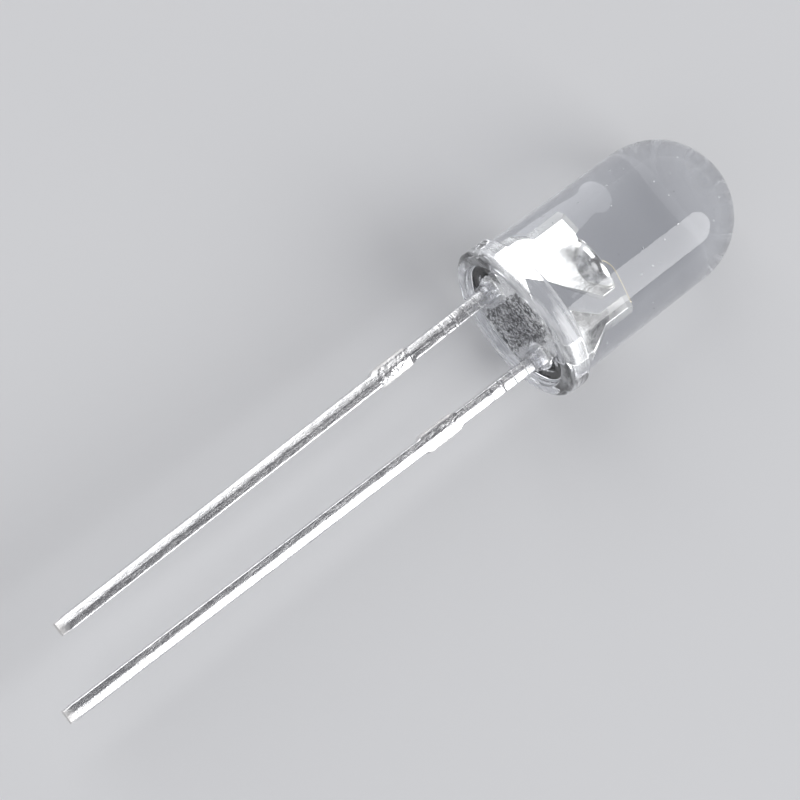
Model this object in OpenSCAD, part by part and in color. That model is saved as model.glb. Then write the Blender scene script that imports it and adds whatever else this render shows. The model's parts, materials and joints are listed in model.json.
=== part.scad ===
/* [Lens] */
// Diameter of the lens barrel and of its dome
lens_d = 5; // [4.4:0.1:8]
// Height of the moulded body from its base rim to the top of the dome
body_h = 8.5; // [7.5:0.1:14]
// How far the flange stands out past the barrel
flange_lip = 0.23; // [0.2:0.01:0.6]
// Thickness of the flange along the lens axis
flange_t = 0.8; // [0.7:0.05:2]
// How far the flange still stands out at its flat, which marks the cathode
flat_lip = 0.16; // [0.1:0.01:0.18]
// Rounding of the flange at the base rim
rim_r = 0.3; // [0.1:0.02:0.34]
// Rounding of the flange's front edge
front_r = 0.08; // [0.04:0.01:0.2]
// Fillet between the flange and the barrel
shoulder_r = 0.08; // [0.04:0.01:0.1]

/* [Base of the lens] */
// Width of the ring left standing around the sunken base face
rim_w = 0.5; // [0.4:0.02:0.7]
// Depth of the sunken base face below the rim
dish_depth = 0.22; // [0.1:0.02:0.4]
// Height that the resin has crept up each lead from the sunken face
creep_h = 0.48; // [0.15:0.01:0.5]
// Thickness of the resin's upper edge around a lead
creep_lip = 0.07; // [0.04:0.01:0.12]
// Depth that a creep's foot is sunk into the base face
creep_sink = 0.03; // [0.02:0.01:0.05]

/* [Leads] */
// Distance between the two leads where they leave the lens
lead_pitch = 2.54; // [2.4:0.01:2.8]
// Width of a lead, across the pair
lead_w = 0.48; // [0.4:0.01:0.56]
// Thickness of the strip that the leads are stamped from
strip_t = 0.5; // [0.4:0.01:0.56]
// Length of the cathode lead below the base rim
cathode_len = 16.6; // [9:0.1:30]
// How much longer the anode lead is
anode_extra = 1.3; // [0:0.1:3]
// Inward lean of the cathode lead, in degrees
cathode_toe = 1.2; // [0:0.05:1.6]
// Inward lean of the anode lead, in degrees
anode_toe = 0.1; // [0:0.05:1.6]
// Rounding of a lead's outer upper edge, where the punch rolled it over
roll_r = 0.2; // [0.08:0.01:0.22]
// Rounding of a lead's other edges
edge_r = 0.04; // [0.02:0.01:0.08]

/* [Marks on the leads] */
// Distance from the base rim to the middle of the sheared tie-bar stubs
stub_drop = 4.25; // [4:0.05:6]
// Length of a stub along its lead
stub_len = 1.1; // [0.8:0.05:1.6]
// How far a stub stands out on each side of its lead
stub_lip = 0.07; // [0.03:0.01:0.15]
// Length of the ramp at each end of a stub
stub_ramp = 0.2; // [0.1:0.01:0.4]
// Number of clamp marks across the upper face of each lead
mark_count = 5; // [1:1:7]
// Distance from the base rim to the first clamp mark
mark_drop = 0.45; // [0.4:0.05:1.2]
// Spacing of the clamp marks
mark_pitch = 0.46; // [0.3:0.01:0.5]
// Width of a clamp mark
mark_w = 0.06; // [0.03:0.01:0.1]
// Depth of a clamp mark
mark_depth = 0.025; // [0.01:0.005:0.05]

/* [Anvil and cup, on the cathode lead] */
// Height of the cup's rim above the base rim
cup_h = 3.15; // [2.9:0.05:4.2]
// Outer diameter of the reflector cup at its rim
cup_d = 1.28; // [1.2:0.02:1.36]
// Thickness of the cup's wall at its rim
cup_wall = 0.1; // [0.06:0.01:0.14]
// Diameter of the flat floor of the cup
cup_floor_d = 0.56; // [0.52:0.01:0.6]
// Depth of the cup
cup_depth = 0.36; // [0.3:0.01:0.42]
// Height of the cup's tapered outside
cup_flare_h = 0.75; // [0.65:0.05:1.2]
// Diameter of the cup's outside where it runs into the anvil
cup_foot_d = 0.56; // [0.52:0.01:0.7]
// Distance from the lens axis to the anvil's outer edge, beside the cup
anvil_out = 1.25; // [1.2:0.01:1.5]
// Width of the anvil's raised shoulder
ear_w = 0.5; // [0.3:0.01:0.5]
// Height up to which the anvil's outer edge runs on from its lead
anvil_foot_h = 1.6; // [1:0.05:1.8]
// Height over which that edge then draws in
anvil_waist = 0.4; // [0.2:0.05:0.5]

/* [Post, on the anode lead] */
// How far the post and the anvil's shoulder stand above the cup's rim
head_rise = 0.2; // [0.1:0.01:0.4]
// Height of the bevel that the punch left along their tops
bevel_h = 0.22; // [0.1:0.01:0.24]
// Width of the post's head
post_w = 0.3; // [0.26:0.01:0.4]
// Clearance between the cup's rim and the post's head
post_gap = 0.22; // [0.15:0.01:0.3]
// Length of the post's narrow head
post_head_h = 1.15; // [0.9:0.05:1.3]
// How far the post's toe reaches in under the cup's rim
toe_reach = 0.2; // [0.1:0.01:0.24]
// Height from the toe to the foot of the post's head
toe_drop = 0.75; // [0.5:0.05:0.8]

/* [Die and bond wire] */
// Side of the square die
die_w = 0.3; // [0.2:0.01:0.34]
// Thickness of the die
die_t = 0.14; // [0.1:0.01:0.18]
// Thickness of the silver epoxy under the die
glue_t = 0.02; // [0.01:0.005:0.03]
// Height that the silver epoxy reaches up the die's sides
glue_rise = 0.04; // [0.02:0.01:0.06]
// Diameter of the bond wire
wire_d = 0.03; // [0.025:0.005:0.05]
// Diameter of the ball at the wire's die end
ball_d = 0.09; // [0.07:0.01:0.12]
// Thickness of the ball and of the stitch at the wire's post end
ball_t = 0.03; // [0.02:0.005:0.04]
// Inside radius of the bend at the top of the wire's loop
loop_r = 0.3; // [0.2:0.01:0.34]
// Slope at which the wire comes down to the post, in degrees
loop_slope = 9; // [5:1:16]
// Thickness of the wire in the bend, as a share of its diameter
bend_swell = 1.06; // [1.04:0.01:1.1]

/* [Hidden] */
$fn = 96;

epoxy_colour = [0.86, 0.9, 0.95, 0.35];
tin_colour = [0.76, 0.77, 0.78];
die_colour = [0.28, 0.27, 0.33];
silver_colour = [0.85, 0.84, 0.82];
gold_colour = [0.93, 0.74, 0.3];

// The lens
lens_r = lens_d / 2;
flange_r = lens_r + flange_lip;
dome_z = body_h - lens_r;
flat_x = lens_r + flat_lip;
dish_r = flange_r - rim_w;
dish_step = dish_depth / 10;               // upright part of the dish's wall, at the rim

// The leads: the lens axis is z, its base rim is z = 0, and the cathode is at -x
lead_x = lead_pitch / 2;
anode_len = cathode_len + anode_extra;
root_z = 0.35;     // height at which a leg runs into its stamped head
root_lap = 0.3;    // length of leg inside the head
root_lip = 0.02;   // how much wider than the leg the head is there
creep_r = max(lead_w, strip_t) / 2 + creep_lip;

// The stamped heads, as outlines seen along y
root_out = lead_x + lead_w / 2 + root_lip;
root_in = lead_x - lead_w / 2 - root_lip;
head_lap = 0.02;                           // how far one outline's corner lies inside its neighbour
cup_r = cup_d / 2;
cup_floor_z = cup_h - cup_depth;
flare_z = cup_h - cup_flare_h;             // foot of the cup's tapered outside
head_top = cup_h + head_rise;
ear_in = anvil_out - ear_w;
bevel_w = (strip_t - ball_d) / 2 - head_lap; // how far the bevel reaches back, clear of the stitch
plate_top = cup_h - cup_wall / 2;          // top of the anvil's plate where it runs into the cup
slant_low = root_z + 0.05;                 // foot of the anvil's slanted edge, at its lead
slant_top = flare_z + 0.22;                // top of that edge, on the cup's tapered side
post_in = cup_r + post_gap;
post_out = post_in + post_w;
head_z = head_top - post_head_h;           // foot of the post's head
toe_x = cup_r - toe_reach;
toe_z = head_z - toe_drop;
toe_t = 0.1;                               // thickness of the toe's end
heel_z = toe_z - 0.25;                     // height at which the post's inner edge leaves its lead

// The die stack, on the lens axis
glue_lip = 0.02;                           // clear ring of floor around the epoxy, and its edge on the die
glue_base_r = cup_floor_d / 2 - glue_lip;
die_z = cup_floor_z + glue_t;
ball_z = die_z + die_t;
seat_lap = glue_t / 2;                     // how deep the lens's cavity runs its seated pieces together

// The wire: up from the ball, round the bend and down the slope to the stitch on the post
stitch_x = (post_in + post_out) / 2;
stitch_z = head_top + wire_d / 2;
bend_r = loop_r + wire_d / 2;
wire_lap = wire_d / 4;                     // how far the straight stretches reach into the bend
slope_len = (stitch_x - bend_r * (1 + sin(loop_slope))) / cos(loop_slope);
bend_z = stitch_z + slope_len * sin(loop_slope) - bend_r * cos(loop_slope);

// Lying at rest: the flange's front edge and the dome touch the surface, with the strip level
// across and the leads in the air
front_in = flange_r - front_r;
front_z = flange_t - front_r;
front_run = dome_z - front_z;
rest_tilt = atan2(front_in, front_run) - asin((lens_r - front_r) / norm([front_in, front_run]));
rest_z = lens_r + dome_z * sin(rest_tilt);

// Centre of the lying part's outline on the surface
tip_low = lead_w / 2 * sin(anode_toe) + strip_t / 2 * sin(rest_tilt);
x_high = lens_r + dome_z * cos(rest_tilt);
x_low = -anode_len * cos(rest_tilt) - tip_low;
y_high = flat_x;
y_low = -flange_r;

// Lays the upright part down on the surface, dome towards +x, centred on the origin
module lying() {
    translate([-(x_high + x_low) / 2, -(y_high + y_low) / 2, rest_z])
        rotate([0, rest_tilt, 0])
            rotate([-90, 0, 0])
                rotate([0, 90, 0])
                    children();
}

// Extrudes an outline drawn in x and z to the thickness of the strip
module stamped() {
    translate([0, strip_t / 2, 0])
        rotate([90, 0, 0])
            linear_extrude(strip_t)
                children();
}

// A rectangle from the origin with its far corner rounded
module rounded_quarter(x, y, r) {
    square([x - r, y]);
    square([x, y - r]);
    translate([x - r, y - r])
        circle(r);
}

// Cross-section of a lead, with its rolled edge towards -x and -y
module lead_section() {
    for (sx = [-1, 1], sy = [-1, 1])
        scale([sx, sy])
            rounded_quarter(lead_w / 2, strip_t / 2, sx + sy < 0 ? roll_r : edge_r);
}

// The leg below a head, standing on its root, with its stubs and clamp marks
module leg(len) {
    leg_len = len + root_z;
    difference() {
        union() {
            translate([0, 0, -leg_len])
                linear_extrude(leg_len + root_lap)
                    lead_section();
            stamped()
                stub_outline();
        }
        for (i = [0:mark_count - 1])
            translate([-lead_w, -strip_t / 2 - mark_w, -root_z - mark_drop - i * mark_pitch])
                cube([2 * lead_w, mark_w + mark_depth, mark_w]);
    }
}

// What the shear leaves of the tie bar on both sides of a leg
module stub_outline() {
    half = lead_w / 2;
    long = stub_len / 2;
    translate([0, -root_z - stub_drop])
        polygon([
            [-half + roll_r, -long - stub_ramp], [half - edge_r, -long - stub_ramp],
            [half + stub_lip, -long], [half + stub_lip, long],
            [half - edge_r, long + stub_ramp], [-half + roll_r, long + stub_ramp],
            [-half - stub_lip, long], [-half - stub_lip, -long],
        ]);
}

// A stamped head: an outline drawn in x and z, with the bevel along the front of its top
module head() {
    difference() {
        stamped()
            children();
        translate([-lead_pitch, -strip_t / 2, head_top - bevel_h])
            rotate([atan2(bevel_h, bevel_w), 0, 0])
                translate([0, -strip_t, 0])
                    cube([2 * lead_pitch, 2 * strip_t, strip_t]);
    }
}

// Outline of the anvil: a plate beside and below the cup, cut back along a slant
module anvil_outline() {
    polygon([
        [-root_out, root_z], [-root_in, root_z], [-root_in, slant_low],
        [cup_r - head_lap, slant_top], [cup_r - head_lap, plate_top],
        [cup_foot_d / 2, cup_floor_z - head_lap], [-cup_foot_d / 2, cup_floor_z - head_lap],
        [head_lap - cup_r, plate_top], [-ear_in, plate_top],
        [-ear_in, head_top], [-anvil_out, head_top],
        [-anvil_out, anvil_foot_h + anvil_waist], [-root_out, anvil_foot_h],
    ]);
}

// The round head of the anvil, tapering into it, with the reflector bowl open at the top
module cup() {
    rotate_extrude()
        polygon([
            [0, flare_z], [cup_foot_d / 2, flare_z],
            [cup_r, cup_h - cup_wall], [cup_r, cup_h], [cup_r - cup_wall, cup_h],
            [cup_floor_d / 2, cup_floor_z], [0, cup_floor_z],
        ]);
}

// The post: a foot that widens towards the anvil and a narrow head for the wire
module post_outline() {
    polygon([
        [root_in, root_z], [root_out, root_z], [root_out, toe_z], [post_out, head_z],
        [post_out, head_top], [post_in, head_top], [post_in, head_z],
        [toe_x, toe_z], [toe_x, toe_z - toe_t], [root_in, heel_z],
    ]);
}

// The lens in section, from its axis outwards, without its sunken base
module lens_profile() {
    translate([0, flange_t / 2])
        mirror([0, 1])
            rounded_quarter(flange_r, flange_t / 2, rim_r);
    translate([0, flange_t / 2])
        rounded_quarter(flange_r, flange_t / 2, front_r);
    square([lens_r, dome_z]);
    translate([0, dome_z])
        intersection() {
            circle(lens_r);
            square(lens_r);
        }
    translate([lens_r, flange_t])
        difference() {
            square(shoulder_r);
            translate([shoulder_r, shoulder_r])
                circle(shoulder_r);
        }
}

// The hollow of the base face, with the resin curving up to the rim
module dish() {
    rotate_extrude() {
        rounded_quarter(dish_r, dish_depth, dish_depth - dish_step);
        translate([0, -dish_step])
            square([dish_r, 2 * dish_step]);
    }
}

// Resin that has crept up a lead, as a ring with a hollow flank
module creep() {
    translate([0, 0, dish_depth + creep_sink])
        mirror([0, 0, 1])
            rotate_extrude()
                difference() {
                    square([creep_r + creep_h, creep_h]);
                    translate([creep_r + creep_h, creep_h])
                        circle(creep_h);
                }
}

module lens() {
    color(epoxy_colour)
        difference() {
            union() {
                difference() {
                    rotate_extrude()
                        lens_profile();
                    dish();
                    translate([-2 * flange_r, -flange_r, -flange_t])
                        cube([2 * flange_r - flat_x, 2 * flange_r, 3 * flange_t]);
                }
                for (x = [-lead_x, lead_x])
                    translate([x, 0, 0])
                        creep();
            }
            cathode_lead();
            anode_lead();
            led_die();
            die_attach(seat_lap);
            bond_wire(seat_lap);
        }
}

module cathode_lead() {
    color(tin_colour) {
        head()
            anvil_outline();
        cup();
        translate([-lead_x, 0, root_z])
            rotate([0, -cathode_toe, 0])
                leg(cathode_len / cos(cathode_toe));
    }
}

module anode_lead() {
    color(tin_colour) {
        head()
            post_outline();
        translate([lead_x, 0, root_z])
            rotate([0, anode_toe, 0])
                mirror([1, 0, 0])
                    leg(anode_len / cos(anode_toe));
    }
}

module led_die() {
    color(die_colour)
        translate([-die_w / 2, -die_w / 2, die_z])
            cube([die_w, die_w, die_t]);
}

// Silver epoxy that holds the die to the floor of the cup; lap sinks its foot into the floor
module die_attach(lap = 0) {
    color(silver_colour)
        difference() {
            union() {
                translate([0, 0, cup_floor_z])
                    cylinder(h = glue_t + glue_rise, r1 = glue_base_r, r2 = die_w / 2 + glue_lip);
                if (lap > 0)
                    translate([0, 0, cup_floor_z - lap])
                        cylinder(h = 2 * lap, r = die_w / 2);
            }
            led_die();
        }
}

// The wire with its ball and stitch; lap sinks both into what they are bonded to
module bond_wire(lap = 0) {
    color(gold_colour) {
        translate([0, 0, ball_z - lap])
            cylinder(h = ball_t + lap, d = ball_d);
        translate([0, 0, ball_z])
            cylinder(h = bend_z + wire_lap - ball_z, d = wire_d);
        translate([bend_r, 0, bend_z])
            rotate([90, 0, 0])
                rotate([0, 0, 90 - loop_slope])
                    rotate_extrude(angle = 90 + loop_slope)
                        translate([bend_r, 0])
                            circle(d = wire_d * bend_swell);
        translate([bend_r * (1 + sin(loop_slope)), 0, bend_z + bend_r * cos(loop_slope)])
            rotate([0, 90 + loop_slope, 0])
                translate([0, 0, -wire_lap])
                    cylinder(h = slope_len + wire_lap, d = wire_d);
        translate([stitch_x, 0, head_top - lap])
            cylinder(h = ball_t + lap, d = ball_d);
    }
}

lying() lens();
lying() cathode_lead();
lying() anode_lead();
lying() led_die();
lying() die_attach();
lying() bond_wire();
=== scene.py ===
import json
import math
import bmesh
import bpy
from mathutils import Matrix, Vector, noise


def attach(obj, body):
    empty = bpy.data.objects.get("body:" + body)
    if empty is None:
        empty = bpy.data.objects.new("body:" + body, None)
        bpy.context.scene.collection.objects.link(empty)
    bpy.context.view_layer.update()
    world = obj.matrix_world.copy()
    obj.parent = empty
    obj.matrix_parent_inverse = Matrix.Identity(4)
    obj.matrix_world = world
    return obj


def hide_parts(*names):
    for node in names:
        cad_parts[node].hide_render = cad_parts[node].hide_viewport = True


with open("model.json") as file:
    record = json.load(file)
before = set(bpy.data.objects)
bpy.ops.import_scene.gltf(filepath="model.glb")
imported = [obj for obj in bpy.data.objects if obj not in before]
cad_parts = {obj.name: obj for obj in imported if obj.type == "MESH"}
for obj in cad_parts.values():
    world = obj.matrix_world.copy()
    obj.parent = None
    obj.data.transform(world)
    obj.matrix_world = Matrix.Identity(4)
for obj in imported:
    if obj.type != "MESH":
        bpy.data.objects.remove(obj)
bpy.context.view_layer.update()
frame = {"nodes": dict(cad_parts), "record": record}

MM = 0.001
RECORD = frame["record"]
MOUNT = {m["name"]: m for m in RECORD["mounts"]}
CAD = frame["nodes"]


# ---------------------------------------------------------------- the LED's own frame
# x runs from the cathode lead to the anode lead, and z up the lens axis from the base rim.
# -y is the side of the strip that lies uppermost. Lengths in this frame are millimetres.

SEAT = Vector(MOUNT["board_seat"]["pos_m"])
AXIS_Z = Vector(MOUNT["lens_barrel"]["axis"]).normalized()
ACROSS = Vector(MOUNT["anode_leg"]["pos_m"]) - Vector(MOUNT["cathode_leg"]["pos_m"])
AXIS_X = (ACROSS - AXIS_Z * ACROSS.dot(AXIS_Z)).normalized()
AXIS_Y = AXIS_Z.cross(AXIS_X)
LED = Matrix((AXIS_X, AXIS_Y, AXIS_Z)).transposed().to_4x4()
LED.translation = SEAT
TO_LED = LED.inverted()
CATHODE = -1
ANODE = 1


def led_points(node):
    """The vertices of a CAD node in the LED's own frame, in millimetres."""
    return [TO_LED @ v.co / MM for v in CAD[node].data.vertices]


def led_axis(mount):
    """A mount's axis in the LED's own frame."""
    return (TO_LED.to_3x3() @ Vector(MOUNT[mount]["axis"])).normalized()


def span(points, axis):
    """The lowest and highest of the points along one axis."""
    values = [p[axis] for p in points]
    return min(values), max(values)


# the lens, as in the part's source
LENS = led_points("lens")
LENS_R = MOUNT["lens_barrel"]["dims"]["r_mm"]
BODY_H = span(LENS, 2)[1]
FLANGE_R = span(LENS, 1)[1]
FLANGE_T = (Vector(MOUNT["panel_shoulder"]["pos_m"]) - SEAT).length / MM
FLAT_X = -span(LENS, 0)[0]
DOME_Z = BODY_H - LENS_R
RIM_R = 0.3
FRONT_R = 0.08
SHOULDER_R = 0.08
RIM_W = 0.5
DISH_DEPTH = 0.22
DISH_LIP = 0.04
DISH_R = FLANGE_R - RIM_W
CREEP_R = 0.32
CREEP_H = 0.48
CREEP_SINK = 0.03

# and what only the dressed lens has
DRAFT = 0.05              # how much narrower the barrel is at the dome
CREEP_UNEVEN = 0.16       # by what share the creep's height varies
SWIRL_H = 0.022           # height of the slow ripples on the base
GRAIN_H = 0.012           # and of the fine ones between the leads
RIM_WEAR = 0.006          # how far the whole rim is worn
CHIPS = [                 # chips in the rim: angle and half-width in degrees, and depth
    (-168, 5, 0.08), (-158, 3, 0.05), (-4, 3.5, 0.07), (70, 4, 0.03), (128, 3, 0.03),
]
TORN_HALF_X = 0.72        # half-sizes of the torn patch between the leads
TORN_HALF_Y = 1.75
RIM_MATT = 0.85           # how matt the rim is, where the flange's wall is 1
BUBBLES = [               # voids in the resin: centre and radius
    (0.9, -1.1, 4.6, 0.022), (-1.3, -0.6, 5.3, 0.016), (1.7, -0.4, 3.9, 0.02),
    (-0.4, -1.9, 6.1, 0.014), (0.3, 1.2, 5.0, 0.02), (-1.6, -1.0, 2.6, 0.018),
    (1.1, -1.6, 6.4, 0.013), (-0.9, 0.8, 4.2, 0.017),
]
BUBBLE_ROWS = 6
BUBBLE_TURNS = 10
LENS_TURNS = 360

# the leads, with a tighter roll and deeper marks than the source has
LEAD_X = ACROSS.length / MM / 2
LEAD_W = 0.48
STRIP_T = 0.5
HALF_W = LEAD_W / 2
HALF_T = STRIP_T / 2
EDGE_R = 0.04
ROLL_R = 0.1              # the tight bend at the foot of the rolled edge
ROLL_END = 0.02           # how far past the middle of the face the roll reaches
ROLL_STEEP = 20           # slope of the rolled face at its tight bend, in degrees
ROLL_SHALLOW = 10         # and where it meets the flat
ROLL_STEPS = 7
ROOT_Z = 0.35
ROOT_LAP = 0.3            # length of leg inside the head
ANODE_SHORT = 0.005       # keeps the anode's tip inside the CAD box
STUB_DROP = 4.25
STUB_LEN = 1.1
STUB_LIP = 0.07
STUB_RAMP = 0.2
STUB_SLOPE = 0.1          # how far the cathode's inner edge is pressed down along its stub
STUB_TEAR = 0.012         # how rough the stub's faces are
MARK_COUNT = 5
MARK_DROP = 0.45
MARK_PITCH = 0.46
MARK_W = 0.08
MARK_DEPTH = 0.034
MARK_RIDGE = 0.014        # metal raised beside a mark
LEG_WAVE = 0.004          # how far a leg strays from straight
TIP_LEN = 0.09            # length of leg at the tip that the shears drew in
TIP_DRAW_X = 0.10         # and the shares by which they did
TIP_DRAW_Y = 0.05
TIP_ROWS = (0.8, 0.55, 0.28)
RING_GAP = 0.07           # distance between a leg's rings
MARK_RING_GAP = 0.012
STUB_RING_GAP = 0.025
TIP_RING_GAP = 0.02

# the heads, with softened edges and a curved flank on the cup
CUP_H = 3.15
CUP_R = 0.64
CUP_WALL = 0.1
CUP_FLOOR_R = 0.28
CUP_FLOOR_Z = 2.79
CUP_FOOT_R = 0.28
CUP_TURNS = 96
FLANK_STEPS = 16
ON_AXIS = 0.001           # radius of a turned shape's closed ends
FLARE_Z = 2.4
HEAD_TOP = 3.35
BEVEL_H = 0.22
BEVEL_W = 0.185
BEVEL_MARGIN = 0.03       # how far below the bevels their rough face starts
STAMPED_R = 0.028         # softening of the stamped edges
STAMPED_STEPS = 4
ROOT_LIP = 0.02           # how much wider than the leg a head is at its root
ROOT_OUT = LEAD_X + HALF_W + ROOT_LIP
ROOT_IN = LEAD_X - HALF_W - ROOT_LIP
ANVIL_OUTLINE = [
    (-ROOT_OUT, ROOT_Z), (-ROOT_IN, ROOT_Z), (-ROOT_IN, 0.4),
    (0.62, 2.62), (0.62, 3.1), (0.28, 2.77), (-0.28, 2.77), (-0.62, 3.1), (-0.75, 3.1),
    (-0.75, HEAD_TOP), (-1.25, HEAD_TOP), (-1.25, 2.0), (-ROOT_OUT, 1.6),
]
POST_OUTLINE = [
    (ROOT_IN, ROOT_Z), (ROOT_OUT, ROOT_Z), (ROOT_OUT, 1.45), (1.16, 2.2),
    (1.16, HEAD_TOP), (0.86, HEAD_TOP), (0.86, 2.2),
    (0.44, 1.45), (0.44, 1.35), (ROOT_IN, 1.2),
]


# ---------------------------------------------------------------- meshes

def link(name, mesh):
    """The mesh as an object in the scene."""
    piece = bpy.data.objects.new(name, mesh)
    bpy.context.scene.collection.objects.link(piece)
    return piece


def add_mesh(name, verts_mm, faces):
    """A smooth piece from points in the LED's frame."""
    mesh = bpy.data.meshes.new(name)
    mesh.from_pydata([LED @ (Vector(v) * MM) for v in verts_mm], [], faces)
    mesh.update()
    mesh.shade_smooth()
    return link(name, mesh)


def mark_points(piece, name, values):
    """Writes one number a point, which the piece's material reads by this name."""
    layer = piece.data.attributes.new(name, "FLOAT", "POINT")
    layer.data.foreach_set("value", values)


def arc(cx, cz, r, a0, a1, n):
    """n + 1 points of an arc in the (radius, z) plane, angles in degrees."""
    angles = [math.radians(a0 + (a1 - a0) * i / n) for i in range(n + 1)]
    return [(cx + r * math.cos(a), cz + r * math.sin(a)) for a in angles]


def line(p, q, n):
    """n points from p to q, without p."""
    return [(p[0] + (q[0] - p[0]) * i / n, p[1] + (q[1] - p[1]) * i / n) for i in range(1, n + 1)]


def ease(x):
    """0 to 1 smoothly as x goes from 0 to 1."""
    x = min(max(x, 0.0), 1.0)
    return x * x * (3 - 2 * x)


def hump(x, centre, half, ramp):
    """1 within half of centre, falling to 0 over ramp."""
    return 1 - ease((abs(x - centre) - half) / ramp)


def wander(x, y, z, scale):
    """Smooth noise from -1 to 1, scale features to a millimetre."""
    return noise.noise(Vector((x, y, z)) * scale)


# ---------------------------------------------------------------- lens

def lens_profile():
    """Radius and z from the top of the dome, down the outside and into the middle of the base."""
    pts = arc(0, DOME_Z, LENS_R, 90, 0, 60)[1:]
    pts += line((LENS_R, DOME_Z), (LENS_R, FLANGE_T + SHOULDER_R), 16)
    pts += arc(LENS_R + SHOULDER_R, FLANGE_T + SHOULDER_R, SHOULDER_R, 180, 270, 6)[1:]
    pts += arc(FLANGE_R - FRONT_R, FLANGE_T - FRONT_R, FRONT_R, 90, 0, 6)
    pts += line((FLANGE_R, FLANGE_T - FRONT_R), (FLANGE_R, RIM_R), 8)
    pts += arc(FLANGE_R - RIM_R, RIM_R, RIM_R, 0, -90, 14)[1:]
    pts += arc(DISH_R + DISH_LIP, DISH_LIP, DISH_LIP, -90, -180, 4)
    bowl = DISH_DEPTH - DISH_LIP
    pts += arc(DISH_R - bowl, DISH_LIP, bowl, 0, 90, 10)[1:]
    pts += line((DISH_R - bowl, DISH_DEPTH), (0, DISH_DEPTH), 100)[:-1]
    return pts


def creep_height(x, y):
    """How far the resin stands up a lead at this point of the base."""
    top = 0.0
    for lx in (-LEAD_X, LEAD_X):
        turn = math.atan2(y, x - lx)
        uneven = 1 + CREEP_UNEVEN * wander(lx + math.cos(turn), math.sin(turn), 0, 1.3)
        reach = CREEP_H * uneven
        d = max(math.hypot(x - lx, y) - CREEP_R, 0)
        if d < reach:
            flank = reach - math.sqrt(reach ** 2 - (reach - d) ** 2)
            top = max(top, min(flank * CREEP_H / reach, CREEP_H) - CREEP_SINK)
    return top


def base_ripple(x, y):
    """Unevenness of the resin's free face, strongest between the leads."""
    r = math.hypot(x, y)
    calm = 1 - ease((r - DISH_R + 0.45) / 0.35)
    between = hump(x, 0, 0.75, 0.5)
    swirl = wander(x + 0.6 * wander(x, y, 3, 2.2), y, 1, 2.6)
    grain = wander(x, y, 5, 7.0) + 0.5 * wander(x, y, 9, 15.0)
    return calm * (SWIRL_H * swirl + GRAIN_H * between * grain)


def rim_wear(a, z):
    """How far the flange is worn in at this angle, in chips and a faint waviness."""
    c, s = math.cos(a), math.sin(a)
    worn = RIM_WEAR * (1 + wander(c, s, z, 3.0)) * ease(1 - (z - 0.1) / 0.6)
    for place, width, depth in CHIPS:
        off = (math.degrees(a) - place + 180) % 360 - 180
        rough = 1 + 0.5 * wander(c, s, z, 14.0)
        worn += depth * rough * math.exp(-(off / width) ** 2) * ease(1 - (z - 0.15) / 0.4)
    return worn


def barrel_draft(r, z):
    """How far the mould's draft draws the barrel and dome in at this height."""
    up_barrel = ease((z - FLANGE_T) / (DOME_Z - FLANGE_T))
    over_dome = 1 - ease((z - DOME_Z) / LENS_R)
    return DRAFT * (r / LENS_R) * up_barrel * over_dome


def lens_point(r, z, a, in_dish):
    """A point of the skin, with the flat, the draft, the creeps and the wear."""
    if not in_dish and z < FLANGE_T + SHOULDER_R:
        r -= rim_wear(a, z) if r > LENS_R + SHOULDER_R else 0
        if math.cos(a) < 0:
            r = min(r, FLAT_X / -math.cos(a))
    if not in_dish and z > FLANGE_T:
        r -= barrel_draft(r, z)
    x, y = r * math.cos(a), r * math.sin(a)
    if in_dish:
        z += base_ripple(x, y) - creep_height(x, y)
    return (x, y, z)


def build_lens():
    """The resin body, with the masks that its material reads."""
    profile = lens_profile()
    turns = LENS_TURNS
    verts = [(0, 0, BODY_H)]
    for r, z in profile:
        in_dish = r < DISH_R - 0.001 and z < FLANGE_T
        for k in range(turns):
            verts.append(lens_point(r, z, 2 * math.pi * k / turns, in_dish))
    verts.append((0, 0, DISH_DEPTH + base_ripple(0, 0)))
    faces = [(0, 1 + k, 1 + (k + 1) % turns) for k in range(turns)]
    rings = len(profile)
    for i in range(rings - 1):
        a, b = 1 + i * turns, 1 + (i + 1) * turns
        for k in range(turns):
            k2 = (k + 1) % turns
            faces.append((a + k, b + k, b + k2, a + k2))
    last = 1 + (rings - 1) * turns
    end = len(verts) - 1
    faces += [(last + k, end, last + (k + 1) % turns) for k in range(turns)]
    for bubble in BUBBLES:
        add_bubble(bubble, verts, faces)
    piece = add_mesh("lens_body", verts, faces)
    mark_points(piece, "torn", [torn_patch(v) for v in verts])
    mark_points(piece, "matt", [matt_flange(v) for v in verts])
    return piece


def matt_flange(v):
    """1 on the flange's wall, which the mould's parting face left matt, and less on its rim."""
    x, y, z = v
    r = math.hypot(x, y)
    if z > FLANGE_T + 0.01 or r < DISH_R:
        return 0.0
    return 1.0 if r > LENS_R + SHOULDER_R else RIM_MATT


def torn_patch(v):
    """1 on the torn patch of the base between the leads."""
    x, y, z = v
    if z > DISH_DEPTH + 0.1 or math.hypot(x, y) > DISH_R:
        return 0.0
    ragged = 0.15 * wander(x, y, 11, 3.0)
    return hump(x + ragged, 0, TORN_HALF_X, 0.12) * hump(y + ragged, 0, TORN_HALF_Y, 0.15)


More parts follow.
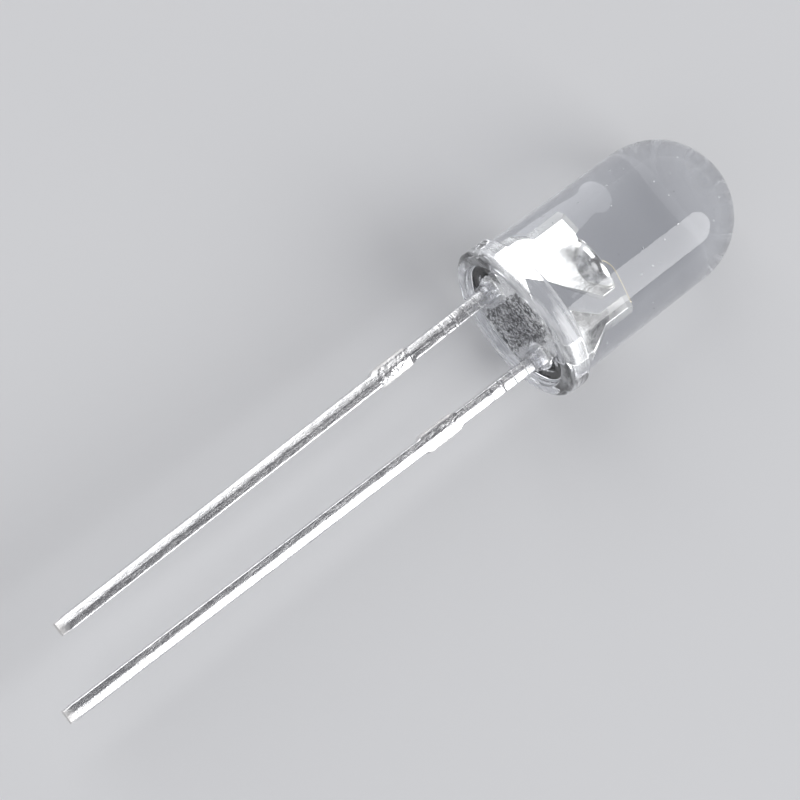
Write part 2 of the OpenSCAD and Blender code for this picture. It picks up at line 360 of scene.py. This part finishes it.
def add_bubble(bubble, verts, faces):
    """A tiny void in the resin, as a shell that faces inwards."""
    x, y, z, r = bubble
    rows, turns = BUBBLE_ROWS, BUBBLE_TURNS
    first = len(verts)
    verts.append((x, y, z + r))
    for i in range(1, rows):
        lat = math.pi * i / rows
        for k in range(turns):
            lon = 2 * math.pi * k / turns
            out = r * math.sin(lat)
            verts.append((x + out * math.cos(lon), y + out * math.sin(lon), z + r * math.cos(lat)))
    verts.append((x, y, z - r))
    end = len(verts) - 1
    base = end - turns
    for k in range(turns):
        k2 = (k + 1) % turns
        faces.append((first, first + 1 + k2, first + 1 + k))
        faces.append((end, base + k, base + k2))
        for i in range(rows - 2):
            a, b = first + 1 + i * turns, first + 1 + (i + 1) * turns
            faces.append((a + k, a + k2, b + k2, b + k))


# ---------------------------------------------------------------- leads

def rolled_edge():
    """From the side of a lead round its tight bend and up the broad slope that the punch left."""
    steep, shallow = math.tan(math.radians(ROLL_STEEP)), math.tan(math.radians(ROLL_SHALLOW))
    bend = arc(ROLL_R - HALF_W, 0, ROLL_R, 180, 270 - ROLL_STEEP, 8)
    run = ROLL_END - bend[-1][0]
    drop = run * (steep + shallow) / 2
    lift = -HALF_T + drop - bend[-1][1]
    pts = [(x, y + lift) for x, y in bend]
    x0, y0 = pts[-1]
    for i in range(1, ROLL_STEPS + 1):
        u = i / ROLL_STEPS
        pts.append((x0 + run * u, y0 - run * (steep * u - (steep - shallow) * u * u / 2)))
    return pts


def section():
    """Round a lead: (x, y) pairs, the rolled edge towards -x and -y, the flats cut up finely."""
    pts = rolled_edge()
    for sx, sy, start in ((1, -1, 270), (1, 1, 0), (-1, 1, 90)):
        bend = arc(sx * (HALF_W - EDGE_R), sy * (HALF_T - EDGE_R), EDGE_R, start, start + 90, 3)
        pts += line(pts[-1], bend[0], 6)[:-1] + bend
    return pts + line(pts[-1], pts[0], 6)[:-1]


def leg_stations(length):
    """Distances down a leg at which it has a ring, close together where there is detail."""
    stops = [0.0]
    marks = [MARK_DROP + i * MARK_PITCH for i in range(MARK_COUNT)]
    while stops[-1] < length - ROOT_Z:
        s = stops[-1]
        step = RING_GAP
        if any(abs(s - m + 0.02) < 0.07 for m in marks):
            step = MARK_RING_GAP
        if abs(s - STUB_DROP) < STUB_LEN / 2 + STUB_RAMP + 0.05:
            step = STUB_RING_GAP
        if s > length - 0.25:
            step = TIP_RING_GAP
        stops.append(s + step)
    return [s for s in stops if s < length - 0.001] + [length]


def shear_stub(s, x, y, side, upper):
    """Widens and tears a lead where its tie-bar was sheared off, and says how sheared it is."""
    stub = hump(s, STUB_DROP, STUB_LEN / 2, STUB_RAMP)
    if stub <= 0:
        return x, y, 0.0
    at_side = ease((abs(x) - HALF_W + 0.06) / 0.05)
    torn = wander(s, x * 3, y * 3 + side, 9.0) + 0.6 * wander(s, y * 4, side, 24.0)
    x += math.copysign(STUB_LIP * (1 + 0.12 * torn), x) * (stub * at_side)
    cut = stub * ease((abs(x) - HALF_W) / 0.03)
    y += STUB_TEAR * stub * torn * (1 if y > 0 else -0.6)
    if side == CATHODE:
        start = 0.04 + 0.16 * (s - STUB_DROP) / STUB_LEN + 0.08 * torn
        y += STUB_SLOPE * stub * upper * ease((x - start) / (HALF_W + STUB_LIP - start))
    return x, y, cut


def press_marks(s, x, y, side, upper):
    """Presses the tool marks into the upper face, and raises the metal beside them."""
    for i in range(MARK_COUNT):
        m = MARK_DROP + i * MARK_PITCH
        uneven = 0.8 + 0.4 * wander(x * 4, m, side, 3)
        y += MARK_DEPTH * uneven * upper * hump(s, m, MARK_W * 0.3, MARK_W * 0.45)
        y -= MARK_RIDGE * uneven * upper * hump(s, m + MARK_W, MARK_W * 0.1, MARK_W * 0.4)
    return y


def leg_shape(s, x, y, side, length):
    """Moves a point of the plain section at distance s down a leg; says how sheared it is."""
    upper = ease((-y - HALF_T + 0.2) / 0.08)
    x, y, cut = shear_stub(s, x, y, side, upper)
    y = press_marks(s, x, y, side, upper)
    y += LEG_WAVE * wander(s * 0.5, x, side, 5.0)
    x += LEG_WAVE * wander(s * 0.7, y, side + 4, 4.0)
    tip = ease((s - length + TIP_LEN) / TIP_LEN)
    if tip > 0:
        x *= 1 - TIP_DRAW_X * tip ** 2
        y *= 1 - TIP_DRAW_Y * tip ** 2
        cut = max(cut, tip)
    return x, y, cut


def join_rings(a, b, n, faces, flip):
    """Faces between two rings of n points that start at a and b."""
    for k in range(n):
        k2 = (k + 1) % n
        quad = (a + k, a + k2, b + k2, b + k)
        faces.append(quad[::-1] if flip else quad)


def build_leg(side, axis, length, verts, faces, cuts):
    """Adds the leg of one side below its root."""
    ring = section()
    n = len(ring)
    root = Vector((side * LEAD_X, 0, ROOT_Z))
    across = Vector((0, 1, 0)).cross(axis).normalized()
    if across.x < 0:
        across = -across
    first = len(verts)
    stops = [-ROOT_LAP] + leg_stations(length)
    for s in stops:
        at = root + axis * s
        for x, y in ring:
            px, py, cut = leg_shape(s, x, y, side, length)
            verts.append(at + across * (-side * px) + Vector((0, py, 0)))
            cuts.append(cut)
    flip = side == ANODE
    for i in range(len(stops) - 1):
        join_rings(first + i * n, first + (i + 1) * n, n, faces, flip)
    end = first + (len(stops) - 1) * n
    add_tip(side, axis, root + axis * length, across, verts, faces, cuts, end)


def add_tip(side, axis, at, across, verts, faces, cuts, end):
    """Closes a leg with its sheared end face, hollowed a little where the metal tore."""
    ring = section()
    n = len(ring)
    flip = side == ANODE
    prev = end
    for share in TIP_ROWS:
        start = len(verts)
        for x, y in ring:
            px, py = x * (1 - TIP_DRAW_X) * share, y * (1 - TIP_DRAW_Y) * share
            back = 0.02 + 0.02 * wander(px, py, side, 9.0) + 0.05 * ease((py + 0.05) / 0.2)
            verts.append(at + across * (-side * px) + Vector((0, py, 0)) - axis * back)
            cuts.append(1.0)
        join_rings(prev, start, n, faces, flip)
        prev = start
    cap = tuple(prev + k for k in range(n))
    faces.append(cap if flip else cap[::-1])


def plate(outline):
    """A stamped head as a bmesh: the outline, the bevel along its top, and softened edges."""
    bm = bmesh.new()
    ring = [bm.verts.new((x, -HALF_T, z)) for x, z in outline]
    face = bm.faces.new(ring)
    out = bmesh.ops.extrude_face_region(bm, geom=[face])
    moved = [v for v in out["geom"] if isinstance(v, bmesh.types.BMVert)]
    bmesh.ops.translate(bm, verts=moved, vec=(0, STRIP_T, 0))
    slope = Vector((0, -BEVEL_H, BEVEL_W)).normalized()
    everything = bm.verts[:] + bm.edges[:] + bm.faces[:]
    corner = Vector((0, -HALF_T, HEAD_TOP - BEVEL_H))
    bmesh.ops.bisect_plane(bm, geom=everything, plane_co=corner, plane_no=slope, clear_outer=True)
    bmesh.ops.holes_fill(bm, edges=[e for e in bm.edges if e.is_boundary], sides=0)
    bmesh.ops.recalc_face_normals(bm, faces=bm.faces)
    sharp = [e for e in bm.edges if e.calc_face_angle(0) > math.radians(20)]
    bmesh.ops.bevel(
        bm, geom=sharp, offset=STAMPED_R, segments=STAMPED_STEPS, profile=0.5,
        affect="EDGES", clamp_overlap=True,
    )
    bmesh.ops.triangulate(bm, faces=[f for f in bm.faces if len(f.verts) > 4])
    return bm


def add_head(outline, verts, faces, cuts):
    """Adds a stamped head, whose bevels are marked as sheared."""
    bm = plate(outline)
    first = len(verts)
    bm.verts.index_update()
    for v in bm.verts:
        verts.append(tuple(v.co))
        cuts.append(float(v.co.z > HEAD_TOP - BEVEL_H - BEVEL_MARGIN))
    for f in bm.faces:
        faces.append(tuple(first + v.index for v in f.verts))
    bm.free()


def add_lathe(profile, verts, faces, cuts):
    """A turned shape about the lens axis, from (radius, z) pairs; the ends lie on the axis."""
    turns = CUP_TURNS
    first = len(verts)
    for r, z in profile:
        for k in range(turns):
            a = 2 * math.pi * k / turns
            verts.append((r * math.cos(a), r * math.sin(a), z))
            cuts.append(0.0)
    for i in range(len(profile) - 1):
        join_rings(first + i * turns, first + (i + 1) * turns, turns, faces, False)


def cup_profile():
    """The cup from under its foot, up the outside, over the rim and down into the bowl."""
    lip = CUP_WALL / 2
    swell, rise = CUP_R - CUP_FOOT_R, CUP_H - CUP_WALL - FLARE_Z
    pts = [(ON_AXIS, FLARE_Z)]
    for i in range(FLANK_STEPS + 1):
        u = i / FLANK_STEPS
        pts.append((CUP_FOOT_R + swell * math.sin(u * math.pi / 2), FLARE_Z + rise * u))
    pts += line(pts[-1], (CUP_R, CUP_H - lip), 2)
    pts += arc(CUP_R - lip, CUP_H - lip, lip, 0, 180, 10)[1:]
    pts += line(pts[-1], (CUP_FLOOR_R + 0.02, CUP_FLOOR_Z + 0.03), 8)
    pts += [(CUP_FLOOR_R + 0.008, CUP_FLOOR_Z + 0.008), (CUP_FLOOR_R - 0.02, CUP_FLOOR_Z)]
    return pts + [(ON_AXIS, CUP_FLOOR_Z)]


def finish_lead(name, verts, faces, cuts):
    """The lead as a piece, with the masks that its material reads."""
    piece = add_mesh(name, verts, faces)
    mark_points(piece, "cut", cuts)
    mark_points(piece, "inside", [ease((v[2] - 0.2) / 0.2) for v in verts])
    piece.data.set_sharp_from_angle(angle=math.radians(32))
    return piece


def leg_length(node, axis):
    """How far a lead reaches below its root, along its axis."""
    return (ROOT_Z - span(led_points(node), 2)[0]) / -axis.z


def build_cathode():
    """The lead with the anvil and the reflector cup."""
    verts, faces, cuts = [], [], []
    axis = led_axis("cathode_leg")
    build_leg(CATHODE, axis, leg_length("cathode_lead", axis), verts, faces, cuts)
    add_head(ANVIL_OUTLINE, verts, faces, cuts)
    add_lathe(cup_profile(), verts, faces, cuts)
    return finish_lead("cathode_frame", verts, faces, cuts)


def build_anode():
    """The lead with the post that takes the wire."""
    verts, faces, cuts = [], [], []
    axis = led_axis("anode_leg")
    length = leg_length("anode_lead", axis) - ANODE_SHORT
    build_leg(ANODE, axis, length, verts, faces, cuts)
    add_head(POST_OUTLINE, verts, faces, cuts)
    return finish_lead("anode_frame", verts, faces, cuts)


# ---------------------------------------------------------------- material nodes

def new_material(name):
    """A material, its nodes, its links and its main shader."""
    mat = bpy.data.materials.new(name)
    mat.use_nodes = True
    return mat, mat.node_tree.nodes, mat.node_tree.links, mat.node_tree.nodes["Principled BSDF"]


def noise_at(nodes, links, scale, detail=3.0, rough=0.55, stretch=(1, 1, 1)):
    """Noise fixed to the part: scale is in features to a millimetre, stretch squeezes each axis."""
    coord = nodes.new("ShaderNodeTexCoord")
    place = nodes.new("ShaderNodeMapping")
    place.inputs["Scale"].default_value = [scale / MM * s for s in stretch]
    texture = nodes.new("ShaderNodeTexNoise")
    texture.inputs["Scale"].default_value = 1.0
    texture.inputs["Detail"].default_value = detail
    texture.inputs["Roughness"].default_value = rough
    links.new(coord.outputs["Object"], place.inputs["Vector"])
    links.new(place.outputs["Vector"], texture.inputs["Vector"])
    return texture.outputs["Fac"]


def spots_at(nodes, links, scale):
    """Distance to scattered points, about scale of them to a millimetre."""
    coord = nodes.new("ShaderNodeTexCoord")
    texture = nodes.new("ShaderNodeTexVoronoi")
    texture.inputs["Scale"].default_value = scale / MM
    links.new(coord.outputs["Object"], texture.inputs["Vector"])
    return texture.outputs["Distance"]


def attribute(nodes, name):
    """The number that mark_points wrote on the mesh."""
    node = nodes.new("ShaderNodeAttribute")
    node.attribute_name = name
    return node.outputs["Fac"]


def remap(nodes, links, value, low, high, new_low, new_high):
    """Takes the range low to high to new_low to new_high, and holds it there."""
    node = nodes.new("ShaderNodeMapRange")
    links.new(value, node.inputs["Value"])
    limits = {"From Min": low, "From Max": high, "To Min": new_low, "To Max": new_high}
    for key, number in limits.items():
        node.inputs[key].default_value = number
    return node.outputs["Result"]


def mix_colour(nodes, links, fac, a, b):
    """From a to b as fac goes from 0 to 1; each is a colour or a socket."""
    node = nodes.new("ShaderNodeMix")
    node.data_type = "RGBA"
    links.new(fac, node.inputs["Factor"])
    for socket, colour in ((node.inputs[6], a), (node.inputs[7], b)):
        if isinstance(colour, tuple):
            socket.default_value = (*colour, 1)
        else:
            links.new(colour, socket)
    return node.outputs[2]


def math_node(nodes, links, operation, a, b):
    """A sum, product and so on of two numbers or sockets."""
    node = nodes.new("ShaderNodeMath")
    node.operation = operation
    for socket, value in ((node.inputs[0], a), (node.inputs[1], b)):
        if isinstance(value, (int, float)):
            socket.default_value = value
        else:
            links.new(value, socket)
    return node.outputs[0]


def bump(nodes, links, height, depth_mm, under=None, share=None):
    """A bump of this real height; it lies on the bump under, and share weakens it in places."""
    node = nodes.new("ShaderNodeBump")
    node.inputs["Distance"].default_value = depth_mm * MM
    if share:
        links.new(share, node.inputs["Strength"])
    links.new(height, node.inputs["Height"])
    if under:
        links.new(under, node.inputs["Normal"])
    return node.outputs["Normal"]


# ---------------------------------------------------------------- clear epoxy

RESIN_IOR = 1.53
RESIN_TINT = (0.955, 0.968, 1.0)
# the crumbs' black is painted reflection of dark surroundings seen through the rough patch
CRUMB_PAINTED_DARK = (0.03, 0.03, 0.035)
CRUMB_PALE = (0.95, 0.95, 0.97)
THROUGH_MIDDLE = (0.97, 0.975, 0.98)  # what scattered light keeps where it meets the lens head on
THROUGH_EDGE = (0.3, 0.3, 0.32)       # and where it grazes it
SCUFF_MATT = 0.06         # roughness of a scuff
TORN_MATT = 0.22          # and of the torn patch
MILK_LEAST = 0.12         # share of the light that the milky flange scatters between its streaks
MILK_MOST = 0.6           # and in them
SPECK_SHARE = 0.8         # and that a speck scatters
GRIT_SHARE = 0.92         # and the grit on the torn patch
WAVE_H = 0.004            # height of the skin's slow waves, in millimetres
PEEL_H = 0.0004           # of the fine skin over them
CRUMB_H = 0.06            # and of the torn patch's crumbs


def epoxy_roughness(nodes, links, torn):
    """Glossy, with faint scuffs, and matt on the torn patch."""
    scuffs = noise_at(nodes, links, 3.0, detail=5, rough=0.7, stretch=(0.25, 1, 1))
    haze = remap(nodes, links, scuffs, 0.58, 0.75, 0.0, SCUFF_MATT)
    matt = math_node(nodes, links, "MULTIPLY", torn, TORN_MATT)
    return math_node(nodes, links, "ADD", haze, matt)


def epoxy_clearness(nodes, links, grit):
    """Clear, but for the milky flange, the specks in the resin and the grit on the torn patch."""
    rings = noise_at(nodes, links, 5.0, detail=3, rough=0.6, stretch=(1, 0.12, 0.12))
    streak = remap(nodes, links, rings, 0.42, 0.62, MILK_LEAST, MILK_MOST)
    milk = math_node(nodes, links, "MULTIPLY", attribute(nodes, "matt"), streak)
    speck = remap(nodes, links, spots_at(nodes, links, 2.3), 0.075, 0.03, 0, SPECK_SHARE)
    cloudy = math_node(nodes, links, "MAXIMUM", milk, speck)
    dull = math_node(nodes, links, "MULTIPLY", grit, GRIT_SHARE)
    solid = math_node(nodes, links, "MAXIMUM", dull, cloudy)
    return math_node(nodes, links, "SUBTRACT", 1.0, solid)


def epoxy_colour(nodes, links, grit):
    """Nearly colourless, with black and white crumbs on the torn patch; the black is painted
    reflection of dark surroundings, not the resin's own colour.
    """
    patches = noise_at(nodes, links, 1.5, detail=2)
    grains = noise_at(nodes, links, 5.5, detail=5, rough=0.8)
    blotch = math_node(nodes, links, "MULTIPLY", patches, 0.8)
    pepper = math_node(nodes, links, "ADD", grains, blotch)
    shade = remap(nodes, links, pepper, 0.92, 0.99, 0, 1)
    # the dark end of this mix is painted reflection of dark surroundings
    crumbs = mix_colour(nodes, links, shade, CRUMB_PAINTED_DARK, CRUMB_PALE)
    return mix_colour(nodes, links, grit, RESIN_TINT, crumbs)


def epoxy_bumps(nodes, links, crumb, torn):
    """Slow waves, a fine skin over them, and crumbs on the torn patch."""
    slow = noise_at(nodes, links, 0.55, detail=1)
    skin = noise_at(nodes, links, 3.2, detail=3, rough=0.6)
    waves = bump(nodes, links, slow, WAVE_H)
    peel = bump(nodes, links, skin, PEEL_H, under=waves)
    return bump(nodes, links, crumb, CRUMB_H, under=peel, share=torn)


def let_light_through(nodes, links, surface):
    """Shadow rays and scattered light go straight through, greyer towards the lens's edges."""
    path = nodes.new("ShaderNodeLightPath")
    clear = nodes.new("ShaderNodeBsdfTransparent")
    facing = nodes.new("ShaderNodeLayerWeight")
    facing.inputs["Blend"].default_value = 0.5
    tint = mix_colour(nodes, links, facing.outputs["Facing"], THROUGH_MIDDLE, THROUGH_EDGE)
    links.new(tint, clear.inputs["Color"])
    for ray in ("Is Diffuse Ray", "Is Shadow Ray"):
        mix = nodes.new("ShaderNodeMixShader")
        links.new(path.outputs[ray], mix.inputs[0])
        links.new(surface, mix.inputs[1])
        links.new(clear.outputs[0], mix.inputs[2])
        surface = mix.outputs[0]
    return surface


def epoxy_material():
    """The clear resin."""
    mat, nodes, links, shader = new_material("clear_epoxy")
    shader.inputs["IOR"].default_value = RESIN_IOR
    torn = attribute(nodes, "torn")
    crumb = noise_at(nodes, links, 9.0, detail=5, rough=0.75)
    loose = remap(nodes, links, crumb, 0.45, 0.52, 0, 1)
    grit = math_node(nodes, links, "MULTIPLY", torn, loose)
    links.new(epoxy_roughness(nodes, links, torn), shader.inputs["Roughness"])
    links.new(epoxy_clearness(nodes, links, grit), shader.inputs["Transmission Weight"])
    links.new(epoxy_colour(nodes, links, grit), shader.inputs["Base Color"])
    links.new(epoxy_bumps(nodes, links, crumb, torn), shader.inputs["Normal"])
    surface = let_light_through(nodes, links, shader.outputs[0])
    links.new(surface, nodes["Material Output"].inputs["Surface"])
    return mat


# ---------------------------------------------------------------- tinned steel

TIN_DULL = (0.70, 0.705, 0.72)
TIN_BRIGHT = (0.88, 0.88, 0.89)
TIN_GRAIN = (0.42, 0.42, 0.43)
TIN_SHEARED = (0.86, 0.85, 0.84)
PLATING = (0.90, 0.90, 0.88)
SHEARED_MATT = 0.28       # what shearing adds to the roughness
PLATED_GLOSS = 0.06       # and what the plating takes away
DENT_H = 0.004            # height of the dents, in millimetres
TIN_GRAIN_H = 0.006       # of the grain
STREAK_H = 0.004          # of the drawn streaks
SPARKLE_H = 0.004         # and of the sparkle
CALM_SHARE = 0.25         # share of all four that is left inside the resin


def tin_colour(nodes, links, grain, cut, inside):
    """Cloudy tin with dark grains, plainer where it was sheared and paler inside the resin."""
    cloud = noise_at(nodes, links, 1.4, detail=3, rough=0.6, stretch=(0.3, 1, 1))
    clouds = remap(nodes, links, cloud, 0.35, 0.65, 0, 1)
    tone = mix_colour(nodes, links, clouds, TIN_DULL, TIN_BRIGHT)
    dark = remap(nodes, links, grain, 0.56, 0.72, 0, 0.6)
    tone = mix_colour(nodes, links, dark, tone, TIN_GRAIN)
    tone = mix_colour(nodes, links, cut, tone, TIN_SHEARED)
    return mix_colour(nodes, links, inside, tone, PLATING)


def tin_roughness(nodes, links, grain, cut, inside):
    """Satin, rougher where it was sheared and smoother inside the resin."""
    satin = remap(nodes, links, grain, 0.3, 0.7, 0.16, 0.34)
    sheared = math_node(nodes, links, "MULTIPLY", cut, SHEARED_MATT)
    plated = math_node(nodes, links, "MULTIPLY", inside, PLATED_GLOSS)
    outside = math_node(nodes, links, "ADD", satin, sheared)
    return math_node(nodes, links, "SUBTRACT", outside, plated)


def tin_bumps(nodes, links, grain, inside):
    """Dents, grain, drawn streaks and sparkle, all of them calmer inside the resin."""
    calm = remap(nodes, links, inside, 0, 1, 1, CALM_SHARE)
    dimple = noise_at(nodes, links, 4.0, detail=2, rough=0.5, stretch=(0.4, 1, 1))
    streak = noise_at(nodes, links, 16.0, detail=3, rough=0.6, stretch=(0.06, 1, 1))
    facet = noise_at(nodes, links, 30.0, detail=2, rough=0.6, stretch=(0.6, 1, 1))
    dents = bump(nodes, links, dimple, DENT_H, share=calm)
    fine = bump(nodes, links, grain, TIN_GRAIN_H, under=dents, share=calm)
    drawn = bump(nodes, links, streak, STREAK_H, under=fine, share=calm)
    return bump(nodes, links, facet, SPARKLE_H, under=drawn, share=calm)


def tin_material():
    """Dipped tin on the legs; inside the resin, the smoother silver plating of the heads."""
    mat, nodes, links, shader = new_material("tinned_steel")
    shader.inputs["Metallic"].default_value = 1.0
    grain = noise_at(nodes, links, 11.0, detail=4, rough=0.7, stretch=(0.4, 1, 1))
    cut = attribute(nodes, "cut")
    inside = attribute(nodes, "inside")
    links.new(tin_colour(nodes, links, grain, cut, inside), shader.inputs["Base Color"])
    links.new(tin_roughness(nodes, links, grain, cut, inside), shader.inputs["Roughness"])
    links.new(tin_bumps(nodes, links, grain, inside), shader.inputs["Normal"])
    return mat


# ---------------------------------------------------------------- small parts and floor

FLOOR_COLOUR = (0.73, 0.735, 0.75)


def grained_material(name, metallic, texture, colours, gloss, depth_mm):
    """Colour, roughness and bump that follow one noise; texture is its scale, detail and rough."""
    mat, nodes, links, shader = new_material(name)
    shader.inputs["Metallic"].default_value = metallic
    grain = noise_at(nodes, links, *texture)
    links.new(mix_colour(nodes, links, grain, *colours), shader.inputs["Base Color"])
    links.new(remap(nodes, links, grain, 0.3, 0.7, *gloss), shader.inputs["Roughness"])
    links.new(bump(nodes, links, grain, depth_mm), shader.inputs["Normal"])
    return mat


def die_material():
    """The dark, faceted chip."""
    colours = ((0.10, 0.11, 0.16), (0.24, 0.25, 0.33))
    return grained_material("die_crystal", 0.0, (16.0, 2), colours, (0.12, 0.3), 0.002)


def silver_material():
    """Resin full of silver flakes."""
    colours = ((0.5, 0.5, 0.49), (0.9, 0.89, 0.87))
    return grained_material("silver_epoxy", 0.6, (30.0, 3, 0.7), colours, (0.35, 0.6), 0.006)


def gold_material():
    """Drawn gold."""
    colours = ((1.0, 0.87, 0.62), (1.0, 0.96, 0.85))
    return grained_material("gold_wire", 1.0, (20.0, 2), colours, (0.42, 0.55), 0.001)


def floor_material():
    """Pale and satin."""
    mat, _, _, shader = new_material("pale_floor")
    shader.inputs["Base Color"].default_value = (*FLOOR_COLOUR, 1)
    shader.inputs["Roughness"].default_value = 0.5
    shader.inputs["Specular IOR Level"].default_value = 0.3
    return mat


# ---------------------------------------------------------------- stage

HORIZON = (0.92, 0.93, 0.95, 1)
LOW_SKY = (0.45, 0.455, 0.47, 1)
OVERHEAD = (0.14, 0.14, 0.15, 1)
LAMP_AIM = Vector((0.007, 0, 0.003))
FOCAL_MM = 106.3
CAMERA_PLACE = Vector((-17.76, 3.98, 71.70)) * MM
CAMERA_BACK = Vector((-0.2553, 0.0516, 0.9655))
CAMERA_UP = Vector((0.5806, 0.8067, 0.1104))


def build_floor():
    """A flat floor, far larger than the part."""
    bm = bmesh.new()
    bmesh.ops.create_grid(bm, x_segments=2, y_segments=2, size=2)
    mesh = bpy.data.meshes.new("floor")
    bm.to_mesh(mesh)
    bm.free()
    floor = link("floor", mesh)
    floor.data.materials.append(floor_material())


def build_world():
    """Pale at the horizon and darker overhead, so that metal and resin have something to show."""
    world = bpy.data.worlds.new("studio")
    bpy.context.scene.world = world
    world.use_nodes = True
    nodes, links = world.node_tree.nodes, world.node_tree.links
    coord = nodes.new("ShaderNodeTexCoord")
    split = nodes.new("ShaderNodeSeparateXYZ")
    ramp = nodes.new("ShaderNodeValToRGB")
    links.new(coord.outputs["Generated"], split.inputs[0])
    links.new(split.outputs["Z"], ramp.inputs["Fac"])
    links.new(ramp.outputs["Color"], nodes["Background"].inputs["Color"])
    ramp.color_ramp.elements[0].position = 0.0
    ramp.color_ramp.elements[0].color = HORIZON
    ramp.color_ramp.elements[1].position = 0.65
    ramp.color_ramp.elements[1].color = OVERHEAD
    ramp.color_ramp.elements.new(0.22).color = LOW_SKY


def softbox(name, place, size, radiance, shape="ELLIPSE"):
    """A flat lamp that faces the part; radiance is its brightness seen head on."""
    data = bpy.data.lights.new(name, "AREA")
    data.shape = shape
    data.size, data.size_y = size
    area = size[0] * size[1] * (math.pi / 4 if shape == "ELLIPSE" else 1)
    data.energy = radiance * math.pi * area
    lamp = bpy.data.objects.new(name, data)
    bpy.context.scene.collection.objects.link(lamp)
    lamp.location = place
    direction = LAMP_AIM - Vector(place)
    lamp.rotation_euler = direction.to_track_quat("-Z", "Y").to_euler()


def build_lamps():
    """The key makes the lens's long highlight, and upper the patch beside it; the others fill in."""
    softbox("key", (0.387, -0.632, 0.599), (0.64, 0.82), 4.2)
    softbox("fill", (0.027, 0.80, 0.591), (0.64, 1.04), 2.2, "RECTANGLE")
    softbox("upper", (0.319, -0.26, 0.867), (0.24, 0.18), 1.8)
    softbox("rear", (-0.701, -0.08, 0.711), (0.56, 0.80), 0.8)


def build_camera():
    """Looks down on the lying part from over its leads, as the photograph does."""
    data = bpy.data.cameras.new("camera")
    data.sensor_width = 36
    data.lens = FOCAL_MM
    data.clip_start = 0.001
    data.clip_end = 20
    camera = bpy.data.objects.new("camera", data)
    bpy.context.scene.collection.objects.link(camera)
    back = CAMERA_BACK.normalized()
    x = CAMERA_UP.cross(back).normalized()
    y = back.cross(x)
    turn = Matrix((x, y, back)).transposed().to_4x4()
    camera.matrix_world = Matrix.Translation(CAMERA_PLACE) @ turn
    bpy.context.scene.camera = camera


def show(piece, material, node):
    """Gives a piece its material, fixes it to the part and hides the CAD node it stands for."""
    piece.data.materials.append(material)
    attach(piece, "root")
    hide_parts(node)


def dress(node, material):
    """Gives a CAD node its material."""
    CAD[node].data.materials.clear()
    CAD[node].data.materials.append(material)


build_camera()
build_world()
build_floor()
build_lamps()

show(build_lens(), epoxy_material(), "lens")
tin = tin_material()
show(build_cathode(), tin, "cathode_lead")
show(build_anode(), tin, "anode_lead")
dress("led_die", die_material())
dress("die_attach", silver_material())
dress("bond_wire", gold_material())

bpy.context.scene.view_settings.view_transform = "Standard"
